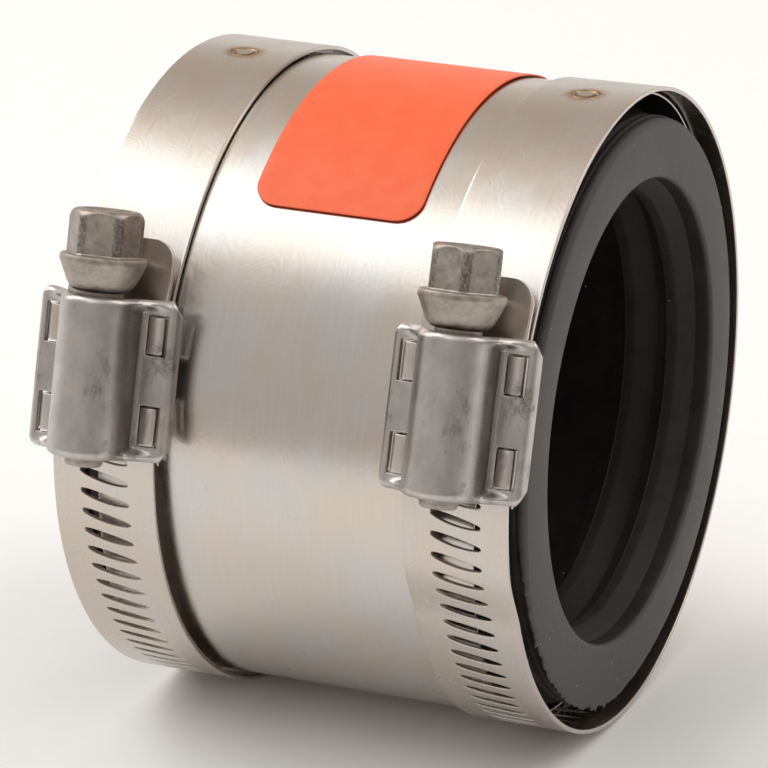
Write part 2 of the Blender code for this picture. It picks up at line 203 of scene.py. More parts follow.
class Sheet:
    """A mesh in the making, whose points remember where they lie on the flat or local piece."""

    def __init__(self):
        self.bm = bmesh.new()
        self.place = self.bm.verts.layers.float_vector.new("place")

    def point(self, co, place=None):
        vert = self.bm.verts.new(co)
        vert[self.place] = Vector(place if place is not None else co)
        return vert

    def quads(self, low, high):
        for a, b, c, d in zip(low, low[1:], high[1:], high):
            corners = []
            for vert in (a, b, c, d):
                if vert is not None and vert not in corners:
                    corners.append(vert)
            if len(corners) > 2 and None not in (a, b, c, d):
                self.bm.faces.new(corners)

    def rows(self, rows, closed=False):
        for low, high in zip(rows, rows[1:]):
            if closed:
                self.quads([*low, low[0]], [*high, high[0]])
            else:
                self.quads(low, high)

    def cap(self, ring):
        self.bm.faces.new(ring)

    def orient(self, outward):
        """Turns an open sheet's faces to the side that outward(co) gives."""
        bm = self.bm
        bmesh.ops.recalc_face_normals(bm, faces=bm.faces[:])
        agreement = 0
        for face in bm.faces:
            agreement += face.calc_area() * face.normal.dot(outward(face.calc_center_median()))
        if agreement < 0:
            bmesh.ops.reverse_faces(bm, faces=bm.faces[:])
        bm.normal_update()

    def rim_directions(self):
        """For each point on the sheet's rim, the way out of the sheet, lengthened at corners."""
        found = {}
        for edge in self.bm.edges:
            if not edge.is_boundary:
                continue
            face = edge.link_faces[0]
            along = edge.verts[1].co - edge.verts[0].co
            out = along.cross(face.normal).normalized()
            if out.dot(edge.verts[0].co - face.calc_center_median()) < 0:
                out = -out
            for vert in edge.verts:
                found.setdefault(vert, []).append(out)
        directions = {}
        for vert, outs in found.items():
            total = sum(outs, Vector()).normalized()
            directions[vert] = total / max(total.dot(outs[0]), 0.6)
        return directions

    def thicken(self, thickness, rounding, steps=3):
        """Gives the sheet its thickness, inwards from its faces, with a rounded rim."""
        bm = self.bm
        points = bm.verts[:]
        faces = bm.faces[:]
        edges = [edge for edge in bm.edges if edge.is_boundary]
        directions = self.rim_directions()
        inner, rims = {}, {}
        for vert in points:
            co, normal, place = vert.co.copy(), vert.normal.copy(), vert[self.place].copy()
            if vert not in directions:
                inner[vert] = self.point(co - normal * thickness, place)
                continue
            aside = directions[vert]
            start = co - aside * rounding
            rim = [vert]
            quarter = [math.pi / 2 * i / steps for i in range(steps + 1)]
            for angle in quarter[1:]:
                out = aside * math.sin(angle) + normal * (math.cos(angle) - 1)
                rim.append(self.point(start + out * rounding, place))
            depth = thickness - rounding
            for angle in quarter if depth > rounding * 1.01 else quarter[1:]:
                out = aside * math.cos(angle) - normal * math.sin(angle)
                rim.append(self.point(start - normal * depth + out * rounding, place))
            vert.co = start
            inner[vert] = rim[-1]
            rims[vert] = rim
        for edge in edges:
            first, second = edge.link_loops[0].vert, edge.link_loops[0].link_loop_next.vert
            low, high = rims[first], rims[second]
            for a, b, c, d in zip(low, low[1:], high[1:], high):
                bm.faces.new((a, b, c, d))
        for face in faces:
            bm.faces.new([inner[vert] for vert in reversed(face.verts[:])])

    def finish(self, name, matrix=None, sharp=35 * DEG):
        """Makes the object. Points carry their place, for the materials."""
        bm = self.bm
        bm.normal_update()
        mesh = bpy.data.meshes.new(name)
        bm.to_mesh(mesh)
        bm.free()
        if matrix is not None:
            mesh.transform(matrix)
        mesh.shade_smooth()
        mesh.set_sharp_from_angle(angle=sharp)
        obj = bpy.data.objects.new(name, mesh)
        bpy.context.scene.collection.objects.link(obj)
        return obj


def from_axis(co):
    return Vector((0, co.y, co.z))


def even_normals(obj):
    """Keeps flat faces looking flat beside their rounded rims."""
    modifier = obj.modifiers.new("normals", "WEIGHTED_NORMAL")
    modifier.mode = "FACE_AREA"
    modifier.keep_sharp = True


def settle(obj):
    """Applies the modifiers, so that the mesh is final."""
    graph = bpy.context.evaluated_depsgraph_get()
    mesh = bpy.data.meshes.new_from_object(obj.evaluated_get(graph))
    old = obj.data
    obj.modifiers.clear()
    obj.data = mesh
    bpy.data.meshes.remove(old)
    mesh.name = obj.name
    return obj


def fold_up(sheet, name, outward, thickness, rounding, matrix=None, sharp=35 * DEG):
    """Makes a laid out sheet into a piece with its thickness, rounded rims and even shading."""
    sheet.orient(outward)
    sheet.thicken(thickness, rounding)
    piece = sheet.finish(name, matrix, sharp)
    even_normals(piece)
    return settle(piece)


def fit_out(obj, material, nodes):
    """Gives a finished piece its material and hides the CAD parts it stands for."""
    obj.data.materials.clear()
    obj.data.materials.append(material)
    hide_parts(*nodes)
    return obj


# ---------------------------------------------------------------- material building blocks

def add(tree, kind, inputs=None, **settings):
    """Adds a shader node, whose inputs are values or the sockets to link."""
    made = tree.nodes.new(kind)
    for key, value in settings.items():
        setattr(made, key, value)
    for key, value in (inputs or {}).items():
        if isinstance(value, bpy.types.NodeSocket):
            tree.links.new(value, made.inputs[key])
        else:
            made.inputs[key].default_value = value
    return made


def start_material(name):
    material = bpy.data.materials.new(name)
    material.use_nodes = True
    tree = material.node_tree
    return material, tree, tree.nodes["Principled BSDF"]


def place_of(tree, scale=(1, 1, 1), turn=(0, 0, 0)):
    """The remembered place of a point, in millimetres times scale."""
    source = add(tree, "ShaderNodeAttribute", attribute_name="place")
    size = tuple(1000 * s for s in scale)
    mapped = add(
        tree, "ShaderNodeMapping",
        {"Vector": source.outputs["Vector"], "Scale": size, "Rotation": turn},
    )
    return mapped.outputs["Vector"]


def noise_of(tree, vector, scale, detail=3.0, rough=0.5, distortion=0.0):
    inputs = {"Vector": vector, "Scale": scale, "Detail": detail, "Roughness": rough}
    made = add(tree, "ShaderNodeTexNoise", {**inputs, "Distortion": distortion})
    return made.outputs["Fac"]


def grain_of(tree, scale, detail=3.0, rough=0.5):
    """Noise in the point's remembered place, with this many cells a millimetre on each axis."""
    return noise_of(tree, place_of(tree, scale), 1.0, detail, rough)


def ramp(tree, factor, stops):
    """A colour ramp through stops of (position, value or colour)."""
    made = add(tree, "ShaderNodeValToRGB", {"Fac": factor})
    elements = made.color_ramp.elements
    while len(elements) < len(stops):
        elements.new(0.5)
    for element, (position, value) in zip(elements, stops):
        element.position = position
        colour = value if isinstance(value, tuple) else (value, value, value)
        element.color = (*colour, 1)
    return made.outputs["Color"]


def maths(tree, operation, a, b=0.0):
    made = add(tree, "ShaderNodeMath", {0: a, 1: b}, operation=operation)
    return made.outputs[0]


def times(tree, *factors):
    product = factors[0]
    for factor in factors[1:]:
        product = maths(tree, "MULTIPLY", product, factor)
    return product


def hypotenuse(tree, a, b):
    squares = maths(tree, "ADD", maths(tree, "POWER", a, 2.0), maths(tree, "POWER", b, 2.0))
    return maths(tree, "SQRT", squares)


def coordinates(tree, vector):
    """The vector's X, Y and Z sockets."""
    parts = add(tree, "ShaderNodeSeparateXYZ", {"Vector": vector})
    return parts.outputs["X"], parts.outputs["Y"], parts.outputs["Z"]


def rescale(tree, value, low, high, new_low=0.0, new_high=1.0, **settings):
    """Maps low and high to new_low and new_high, and holds the value between them."""
    inputs = {"Value": value, "From Min": low, "From Max": high}
    made = add(
        tree, "ShaderNodeMapRange", {**inputs, "To Min": new_low, "To Max": new_high}, **settings
    )
    return made.outputs["Result"]


def blend_colours(tree, factor, a, b, mode="MIX"):
    made = add(tree, "ShaderNodeMix", data_type="RGBA", blend_type=mode)
    sockets = [s for s in made.inputs if s.enabled]
    for socket, value in zip(sockets, (factor, a, b)):
        if isinstance(value, bpy.types.NodeSocket):
            tree.links.new(value, socket)
        elif isinstance(value, tuple):
            socket.default_value = (*value, 1)
        else:
            socket.default_value = value
    return next(s for s in made.outputs if s.enabled)


def bump(tree, height, distance, strength=1.0, normal=None):
    inputs = {"Height": height, "Distance": distance, "Strength": strength}
    if normal is not None:
        inputs["Normal"] = normal
    return add(tree, "ShaderNodeBump", inputs).outputs["Normal"]


def complete(tree, shader, colour, roughness, normal, metallic=0.0):
    """Gives the shader its colour, roughness (a value or a socket), normal and metallic."""
    tree.links.new(colour, shader.inputs["Base Color"])
    if isinstance(roughness, bpy.types.NodeSocket):
        tree.links.new(roughness, shader.inputs["Roughness"])
    else:
        shader.inputs["Roughness"].default_value = roughness
    tree.links.new(normal, shader.inputs["Normal"])
    shader.inputs["Metallic"].default_value = metallic


def scratches(tree, scale, turn, thin):
    """Sparse thin lines, 1 on a scratch and 0 beside it."""
    stretched = place_of(tree, (0.05 * scale, 1.1 * scale, scale), (0, 0, turn))
    lines = noise_of(tree, stretched, 1.0, 2.0, 0.4, 0.4)
    line = ramp(tree, lines, ((0.5 - thin, 0.0), (0.5, 1.0), (0.5 + thin, 0.0)))
    patches = grain_of(tree, (0.12, 0.12, 0.12), 1.0)
    where = ramp(tree, patches, ((0.58, 0.0), (0.70, 1.0)))
    return times(tree, line, where)


# ---------------------------------------------------------------- materials

def sheet_steel(name, warm, cool, rough, brush, weld_x=None):
    """Rolled stainless strip: brushed along its length, faintly stained and lightly scratched."""
    material, tree, shader = start_material(name)
    stain = grain_of(tree, (0.10, 0.07, 0.10), 3.0, 0.55)
    colour = blend_colours(tree, ramp(tree, stain, ((0.40, 0.0), (0.60, 1.0))), warm, cool)
    grain = grain_of(tree, (4.0, 0.10, 1.0), 3.0, 0.6)
    fine = grain_of(tree, (5.0, 5.0, 5.0), 2.0, 0.6)
    toned = ramp(tree, grain, ((0.3, 0.975), (0.7, 1.02)))
    colour = blend_colours(tree, 1.0, colour, toned, "MULTIPLY")
    if weld_x is not None:
        colour = heat_tint(tree, colour, weld_x)
    worn = scratches(tree, 1.3, 0.5, 0.004)
    colour = blend_colours(tree, times(tree, worn, 0.12), colour, (0.9, 0.88, 0.85))
    cloudy = grain_of(tree, (0.22, 0.14, 0.22), 3.0, 0.6)
    roughness = rescale(tree, cloudy, 0.3, 0.7, rough - 0.03, rough + 0.05)
    bent = grain_of(tree, (0.16, 0.16, 0.16), 1.0)
    swirl = maths(tree, "SINE", times(tree, bent, 95.0))
    normal = bump(tree, grain, 0.0016 * MM * brush)
    normal = bump(tree, swirl, 0.0010 * MM, 1.0, normal)
    normal = bump(tree, fine, 0.0016 * MM, 1.0, normal)
    complete(tree, shader, colour, roughness, normal, 1.0)
    return material


def strip_steel(name, weld_x=None):
    warm, cool = (0.60, 0.535, 0.475), (0.58, 0.545, 0.515)
    return sheet_steel(name, warm, cool, 0.25, 1.0, weld_x)


def heat_tint(tree, colour, weld_x):
    """Brown rings round the spot weld, at the top of the band."""
    place = add(tree, "ShaderNodeTexCoord").outputs["Object"]
    x, y, z = coordinates(tree, place)
    away = hypotenuse(tree, maths(tree, "SUBTRACT", x, weld_x), y)
    away = hypotenuse(tree, away, maths(tree, "MINIMUM", z, 0.0))
    ragged = maths(tree, "SUBTRACT", noise_of(tree, place, 1400.0, 3.0), 0.5)
    away = maths(tree, "ADD", away, times(tree, ragged, 1.2 * MM))
    ring = ramp(
        tree, times(tree, away, 1 / (4.0 * MM)),
        ((0.0, (0.50, 0.42, 0.34)), (0.38, (0.44, 0.30, 0.19)), (0.47, (0.62, 0.46, 0.30)),
         (0.60, (0.86, 0.74, 0.60)), (0.75, (1.0, 1.0, 1.0))),
    )
    return blend_colours(tree, 1.0, colour, ring, "MULTIPLY")


def pressed_steel(name, base, dark, rough, smudge_low=0.56, fold=None):
    """Tumbled pressing: soft mottling, dark ingrained smudges and rubbed edges.

    fold gives the distances |x| in millimetres between which the fold beside the barrel is darkened
    with painted shade, speckled.
    """
    material, tree, shader = start_material(name)
    mottle = grain_of(tree, (0.5, 0.35, 0.5), 5.0, 0.6)
    bright = tuple(min(c * 1.22, 1) for c in base)
    colour = blend_colours(tree, ramp(tree, mottle, ((0.35, 0.0), (0.68, 1.0))), base, bright)
    blotch = grain_of(tree, (0.30, 0.16, 0.30), 4.0, 0.65)
    speck = grain_of(tree, (2.6, 2.2, 2.6), 4.0, 0.7)
    smudge = ramp(tree, blotch, ((smudge_low, 0.0), (smudge_low + 0.12, 1.0)))
    smudge = times(tree, smudge, ramp(tree, speck, ((0.35, 0.35), (0.60, 1.0))), 0.75)
    colour = blend_colours(tree, smudge, colour, dark)
    # Painted shade: darkens the crease between the barrel's side wall and the flange, where shade
    # falls.
    if fold is not None:
        aside = maths(tree, "ABSOLUTE", coordinates(tree, place_of(tree))[0])
        low, high = (distance / 10 for distance in fold)
        stops = ((low - 0.035, 0.0), (low, 1.0), (high, 1.0), (high + 0.012, 0.0))
        fold_shade = ramp(tree, maths(tree, "DIVIDE", aside, 10.0), stops)
        fold_shade = times(tree, fold_shade, ramp(tree, speck, ((0.3, 0.7), (0.6, 0.95))), 0.6)
        colour = blend_colours(tree, fold_shade, colour, dark)
    geometry = add(tree, "ShaderNodeNewGeometry")
    edge = ramp(tree, geometry.outputs["Pointiness"], ((0.52, 0.0), (0.58, 1.0)))
    rubbed = times(tree, edge, ramp(tree, mottle, ((0.3, 0.4), (0.6, 0.95))))
    colour = blend_colours(tree, rubbed, colour, (0.84, 0.79, 0.73))
    normal = bump(tree, mottle, 0.05 * MM, 0.5)
    normal = bump(tree, speck, 0.012 * MM, 0.8, normal)
    roughness = rescale(tree, speck, 0.3, 0.7, rough - 0.05, rough + 0.08)
    complete(tree, shader, colour, roughness, normal, 1.0)
    return material


def screw_steel(name):
    """Cold-headed screw: a warm dull finish, with a dark granular skin on the hexagon's corners."""
    material, tree, shader = start_material(name)
    mottle = grain_of(tree, (0.7, 0.7, 0.7), 6.0, 0.65)
    base = blend_colours(
        tree, ramp(tree, mottle, ((0.36, 0.0), (0.64, 1.0))), (0.30, 0.262, 0.23), (0.46, 0.41, 0.36)
    )
    grit = grain_of(tree, (2.8, 2.0, 2.8), 4.0, 0.7)
    place = add(tree, "ShaderNodeAttribute", attribute_name="place").outputs["Vector"]
    x, y, z = coordinates(tree, place)
    corner = rescale(
        tree, hypotenuse(tree, x, z), 4.12 * MM, 4.24 * MM, interpolation_type="SMOOTHSTEP"
    )
    head = maths(tree, "GREATER_THAN", y, HEX_START + 0.1 * MM)
    skin = times(tree, corner, head, 0.75)
    dark = ramp(tree, grit, ((0.38, (0.06, 0.055, 0.05)), (0.66, (0.36, 0.34, 0.32))))
    colour = blend_colours(tree, skin, base, dark)
    geometry = add(tree, "ShaderNodeNewGeometry")
    edge = ramp(tree, geometry.outputs["Pointiness"], ((0.53, 0.0), (0.62, 1.0)))
    colour = blend_colours(tree, times(tree, edge, 0.7), colour, (0.86, 0.82, 0.76))
    normal = bump(tree, mottle, 0.06 * MM, 0.5)
    normal = bump(tree, grit, 0.02 * MM, 0.9, normal)
    complete(tree, shader, colour, rescale(tree, mottle, 0.3, 0.7, 0.36, 0.5), normal, 1.0)
    return material


def lint_on(tree, place, colour):
    """A few pale specks."""
    cells = add(
        tree, "ShaderNodeTexVoronoi", {"Vector": place, "Scale": 420.0, "Randomness": 1.0},
        feature="F1",
    )
    some = add(tree, "ShaderNodeSeparateColor", {"Color": cells.outputs["Color"]})
    small = maths(tree, "LESS_THAN", cells.outputs["Distance"], 0.05)
    chosen = maths(tree, "GREATER_THAN", some.outputs["Red"], 0.72)
    return blend_colours(tree, times(tree, small, chosen, 0.5), colour, (0.42, 0.39, 0.36))


def rubber_material():
    """Moulded rubber: a dusty grey end face, painted shade that blackens the bore inwards from the
    face, lint and fine rubbed marks.
    """
    material, tree, shader = start_material("gasket_rubber")
    place = add(tree, "ShaderNodeTexCoord").outputs["Object"]
    cloud = noise_of(tree, place, 260.0, 4.0, 0.6)
    skin = blend_colours(
        tree, ramp(tree, cloud, ((0.35, 0.0), (0.65, 1.0))), (0.039, 0.036, 0.0345),
        (0.058, 0.053, 0.051),
    )
    # Painted shade: inside the bore the colour darkens with depth from the end face, where shade
    # falls, and the specular level drops with it.
    bore_shade = ramp(tree, cloud, ((0.35, (0.008, 0.006, 0.006)), (0.65, (0.013, 0.011, 0.0105))))
    aside = maths(tree, "ABSOLUTE", coordinates(tree, place)[0])
    depth = maths(tree, "SUBTRACT", GASKET_HALF_LENGTH, aside)
    face = ramp(
        tree, times(tree, depth, 1 / (20 * MM)),
        ((0.012, 1.0), (0.04, 0.42), (0.5, 0.26), (0.64, 0.0)),
    )
    colour = lint_on(tree, place, blend_colours(tree, face, bore_shade, skin))
    gloss = maths(tree, "MULTIPLY_ADD", face, 0.40)
    gloss.node.inputs[2].default_value = 0.06
    tree.links.new(gloss, shader.inputs["Specular IOR Level"])
    rubbed = {"Vector": place, "Scale": (900, 220, 2600), "Rotation": (0.6, 0, 0)}
    along = add(tree, "ShaderNodeMapping", rubbed).outputs["Vector"]
    normal = bump(tree, noise_of(tree, place, 2200.0, 3.0, 0.7), 0.06 * MM, 0.8)
    normal = bump(tree, noise_of(tree, along, 1.0, 2.0, 0.5), 0.04 * MM, 0.6, normal)
    complete(tree, shader, colour, rescale(tree, cloud, 0.3, 0.7, 0.5, 0.62), normal)
    return material


def label_material():
    """Orange coated paper. Its print is left out."""
    material, tree, shader = start_material("label_paper")
    place = place_of(tree)
    fibre = noise_of(tree, place, 7.0, 3.0, 0.7)
    tone = noise_of(tree, place, 0.35, 3.0)
    colour = blend_colours(
        tree, ramp(tree, tone, ((0.4, 0.0), (0.6, 1.0))), (0.98, 0.140, 0.045), (0.98, 0.156, 0.053)
    )
    toned = ramp(tree, fibre, ((0.3, 0.93), (0.7, 1.05)))
    colour = blend_colours(tree, 1.0, colour, toned, "MULTIPLY")
    shader.inputs["Specular IOR Level"].default_value = 0.4
    complete(tree, shader, colour, 0.42, bump(tree, fibre, 0.006 * MM, 0.8))
    return material


def weld_material():
    material, tree, shader = start_material("weld_tinted_steel")
    place = place_of(tree)
    x, y, _ = coordinates(tree, place)
    ragged = noise_of(tree, place, 1.6, 3.0)
    away = maths(tree, "ADD", hypotenuse(tree, x, y), times(tree, ragged, 0.4))
    colour = ramp(
        tree, times(tree, away, 0.5),
        ((0.0, (0.42, 0.36, 0.30)), (0.5, (0.50, 0.42, 0.34)), (0.66, (0.16, 0.10, 0.06)),
         (0.82, (0.40, 0.27, 0.17)), (1.0, (0.30, 0.20, 0.12))),
    )
    complete(tree, shader, colour, 0.38, bump(tree, ragged, 0.08 * MM, 0.6), 1.0)
    return material


def floor_material():
    material, tree, shader = start_material("floor_paper")
    place = add(tree, "ShaderNodeTexCoord").outputs["Object"]
    tooth = noise_of(tree, place, 400.0, 2.0)
    colour = ramp(tree, tooth, ((0.3, (0.955, 0.95, 0.945)), (0.7, (0.965, 0.96, 0.955))))
    tree.links.new(colour, shader.inputs["Base Color"])
    shader.inputs["Roughness"].default_value = 0.9
    shader.inputs["Specular IOR Level"].default_value = 0.1
    return material


# ---------------------------------------------------------------- gasket

def gasket_profile(corner):
    """Closed loop of (radius, x, share of the flash): down the outside, back through the bore."""
    half = GASKET_HALF_LENGTH
    end = GASKET_END_RADIUS
    quarter = math.pi / 2
    flat = end - 0.12 * MM - corner
    outside = [(flat, half, 0)]
    outside += [
        (flat + corner * math.sin(a), half - corner + corner * math.cos(a), math.sin(a) ** 2)
        for a in spread(0, quarter, 5)[1:]
    ]
    outside += [(end - 0.3 * MM, half - corner - 0.12 * MM, 0)]
    grooves = ((0.3, 1.2), (0, 1.4), (0, 1.75), (0.35, 1.9), (0.35, 2.1), (0, 2.5), (0, 3.4))
    outside += [(end - depth * MM, half - back * MM, 0) for depth, back in grooves]
    outside += [(GASKET_RADIUS, half - 9 * MM, 0)]
    mirrored = [(radius, -x, 0) for radius, x, _ in reversed(outside)]
    bore = []
    for side in (-1, 1):
        wall = BORE_RADIUS[side]
        crest = wall - 1.6 * MM
        lip = 0.55 * MM
        half_bore = [
            (wall + lip - lip * math.sin(a), half - lip + lip * math.cos(a), 0)
            for a in spread(0, quarter, 4)
        ]
        for start, slope in ((half - 2.2 * MM, 1.9 * MM), (half - 7.2 * MM, 2.3 * MM)):
            peak = start - slope
            half_bore += [(wall, start, 0), (wall - 0.12 * MM, start - 0.2 * MM, 0)]
            half_bore += [(crest + 0.12 * MM, peak + 0.15 * MM, 0), (crest, peak - 0.1 * MM, 0)]
            half_bore += [(crest, peak - 1.1 * MM, 0), (crest + 0.15 * MM, peak - 1.35 * MM, 0)]
            half_bore += [(wall - 0.1 * MM, peak - 1.7 * MM, 0), (wall, peak - 1.85 * MM, 0)]
        half_bore += [(wall, 2.0 * MM, 0), (wall - 0.4 * MM, 1.5 * MM, 0)]
        half_bore += [(STOP_RADIUS + 0.4 * MM, 1.5 * MM, 0), (STOP_RADIUS, 1.1 * MM, 0)]
        if side < 0:
            bore += [(radius, -x, 0) for radius, x, _ in half_bore]
        else:
            bore += half_bore[::-1]
    return outside + mirrored + bore


def flash_share(angle):
    """How much moulding flash is left round the face's edge: most low down at the front."""
    turned = (angle / DEG + 52 + 180) % 360 - 180
    return math.exp(-((turned / 42) ** 4))


def flash_height(angle):
    """Torn edge of the moulding flash. The angle runs from -Y over +Z."""
    degrees = angle / DEG
    sector = flash_share(angle)
    tooth = abs((degrees / 2.6) % 1 - 0.35) * 1.1
    jitter = noise.noise(Vector((degrees * 0.55, 3.1, 0)))
    jitter += 0.5 * noise.noise(Vector((degrees * 1.7, 9.7, 0)))
    return sector * max(0, 0.50 * tooth + 0.75 * jitter + 0.40) * MM


def make_gasket():
    sheet = Sheet()
    steps = 360
    rows = []
    for step in range(steps):
        angle = 2 * math.pi * step / steps
        fin = flash_height(angle)
        ripple = 1 + 0.0012 * noise.noise(Vector((math.cos(angle), math.sin(angle), 4.2)) * 2.5)
        row = []
        for radius, x, flash in gasket_profile(mix(1.0, 0.14, flash_share(angle)) * MM):
            r = radius * ripple + fin * flash
            row.append(sheet.point((x, -r * math.cos(angle), r * math.sin(angle))))
        row.append(row[0])
        rows.append(row)
    rows.append(rows[0])
    sheet.rows(rows)
    bmesh.ops.recalc_face_normals(sheet.bm, faces=sheet.bm.faces[:])
    piece = sheet.finish("gasket_sleeve", sharp=30 * DEG)
    fit_out(piece, rubber_material(), ["gasket"])
    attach(piece, "sleeve")


# ---------------------------------------------------------------- shield and label

def make_shield():
    """One rolled sheet, whose inner leaf runs on under the outer leaf's edge at the back."""
    total = 2 * math.pi + LAP_ANGLE
    ramp_angle = 14 * DEG
    sheet = Sheet()
    rows = []
    for angle in spread(LAP_EDGE, LAP_EDGE + total, 320):
        past = angle - LAP_EDGE - (2 * math.pi - ramp_angle - 1 * DEG)
        radius = SHIELD_RADIUS - 0.05 * MM - LAP_STEP * smoothstep(past / ramp_angle)
        shift = SHIELD_SKEW * math.cos(angle)
        row = []
        for share in spread(-1, 1, 48):
            x = shift + share * SHIELD_HALF_LENGTH
            spot = Vector((x, radius * math.sin(angle), radius * math.cos(angle)))
            dent = 0.05 * MM * noise.noise(spot * 45)
            out = Vector((0, math.sin(angle), math.cos(angle)))
            row.append(sheet.point(spot + out * dent, (x, angle * SHIELD_RADIUS, 0)))
        rows.append(row)
    sheet.rows(rows)
    piece = fold_up(sheet, "shield_sheet", from_axis, SHIELD_THICKNESS, 0.12 * MM)
    steel = sheet_steel("shield_stainless", (0.62, 0.56, 0.50), (0.60, 0.575, 0.555), 0.23, 0.6)
    fit_out(piece, steel, ["shield"])
    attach(piece, "sleeve")


def make_label():
    """A sticker with rounded corners; its angles run from -Y over +Z."""
    start, end = LABEL_ANGLES
    corner = LABEL_CORNER / LABEL_RADIUS
    angles = eased(start, start + corner, 10)[:-1]
    angles += spread(start + corner, end - corner, 60)
    angles += eased(end - corner, end, 10)[1:]
    sheet = Sheet()
    rows = []
    for angle in angles:
        distance = min(angle - start, end - angle) * LABEL_RADIUS
        half = LABEL_WIDTH / 2 - corner_inset(distance, LABEL_CORNER)
        row = []
        for share in spread(-1, 1, 30):
            x = LABEL_CENTRE_X + share * half
            spot = (x, -LABEL_RADIUS * math.cos(angle), LABEL_RADIUS * math.sin(angle))
            row.append(sheet.point(spot, (x, angle * LABEL_RADIUS, 0)))
        rows.append(row)
    sheet.rows(rows)
    piece = fold_up(sheet, "label_sticker", from_axis, LABEL_THICKNESS, 0.08 * MM)
    fit_out(piece, label_material(), ["label"])
    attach(piece, "sleeve")


# ---------------------------------------------------------------- clamp strips

STRIP_COLUMNS = (
    [-6.35 * MM, -6.0 * MM, -5.2 * MM, -4.3 * MM, -3.5 * MM]
    + eased(SLOT_LEFT, SLOT_RIGHT, 16)
    + [3.6 * MM, 4.4 * MM, 5.3 * MM, 6.0 * MM, 6.35 * MM]
)


def slot_opening(x):
    """The slot's lower and upper limit about its middle line, as lengths round the bore."""
    if not SLOT_LEFT - 0.001 * MM <= x <= SLOT_RIGHT + 0.001 * MM:
        return None
    share = min(max((x - SLOT_LEFT) / (SLOT_RIGHT - SLOT_LEFT), 0), 1)
    bulge = (4 * share**0.85 * (1 - share**0.85)) ** 0.6
    half = mix(0.1 * MM, SLOT_HALF_WIDTH, bulge)
    sag = -0.14 * MM * 4 * share * (1 - share)
    return sag - half, sag + half


def weld_opening(x):
    if abs(x) > WELD_RADIUS:
        return None
    half = math.sqrt(max(WELD_RADIUS**2 - x**2, (0.35 * MM) ** 2))
    return -half, half


def lay_strip(sheet, cells, columns, place, band_radius):
    """Rows of points round the bore. cells are (start, end, opening or None), in angles."""
    last = [place(sheet, cells[0][0], x) for x in columns]
    for start, end, opening in cells:
        if opening is None:
            count = max(1, math.ceil((end - start) / (1.5 * DEG)))
            for angle in spread(start, end, count)[1:]:
                row = [place(sheet, angle, x) for x in columns]
                sheet.quads(last, row)
                last = row
            continue
        middle = (start + end) / 2
        limits = [opening(x) for x in columns]
        low = [middle + (limit[0] / band_radius if limit else 0) for limit in limits]
        high = [middle + (limit[1] / band_radius if limit else 0) for limit in limits]
        for share in (1 / 3, 2 / 3, 1):
            row = [place(sheet, mix(start, a, share), x) for a, x in zip(low, columns)]
            sheet.quads(last, row)
            last = row
        upper = [
            place(sheet, a, x) if limit else vert
            for a, x, limit, vert in zip(high, columns, limits, last)
        ]
        cut = [i for i, limit in enumerate(limits) if limit]
        for inside, outside in ((cut[0], cut[0] - 1), (cut[-1], cut[-1] + 1)):
            sheet.bm.faces.new((last[outside], last[inside], upper[inside]))
        last = upper
        for share in (1 / 3, 2 / 3, 1):
            row = [place(sheet, mix(a, end, share), x) for a, x in zip(high, columns)]
            sheet.quads(last, row)
            last = row


def finish_strip(sheet, name, matrix):
    return fold_up(sheet, name, from_axis, BAND_THICKNESS, 0.09 * MM, matrix)


def strip_unevenness(angle):
    """Where the strip lies closer to the shield, against the angle above -Y."""
    coming = smoothstep((angle - 22 * DEG) / (22 * DEG))
    going = smoothstep((angle - 95 * DEG) / (25 * DEG))
    return coming * (1 - going)


def make_fixed_strip(name, side, matrix, clamp_angle, band_radius):
    """The plain side of the strip, from under the housing to just past the spot weld."""
    weld_angle = math.pi / 2 - clamp_angle
    reach = 1.25 * WELD_RADIUS / band_radius

    def place(sheet, angle, x):
        eased_share = strip_unevenness(angle + clamp_angle)
        flare = STRIP_FLARE[name] * x / (BAND_WIDTH / 2)
        radius = band_radius + (flare - STRIP_DIP[name]) * eased_share
        co = (x, radius * math.sin(angle), radius * math.cos(angle))
        return sheet.point(co, (x, angle * band_radius, 0))

    columns = [-6.35 * MM, -6.0 * MM, -5.0 * MM, -4.0 * MM, -3.0 * MM, -2.2 * MM]
    columns += eased(-WELD_RADIUS, WELD_RADIUS, 14)
    columns += [2.2 * MM, 3.0 * MM, 4.0 * MM, 5.0 * MM, 6.0 * MM, 6.35 * MM]
    cells = (
        (FIXED_START, weld_angle - reach, None),
        (weld_angle - reach, weld_angle + reach, weld_opening),
        (weld_angle + reach, STRIP_SEAM - clamp_angle, None),
    )
    sheet = Sheet()
    lay_strip(sheet, cells, columns, place, band_radius)
    piece = finish_strip(sheet, f"clamp_strip_fixed_{name}", matrix)
    steel = strip_steel(f"strip_stainless_{name}", side * BAND_CENTRE_X)
    fit_out(piece, steel, [f"band_{name}"])
    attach(piece, "sleeve")


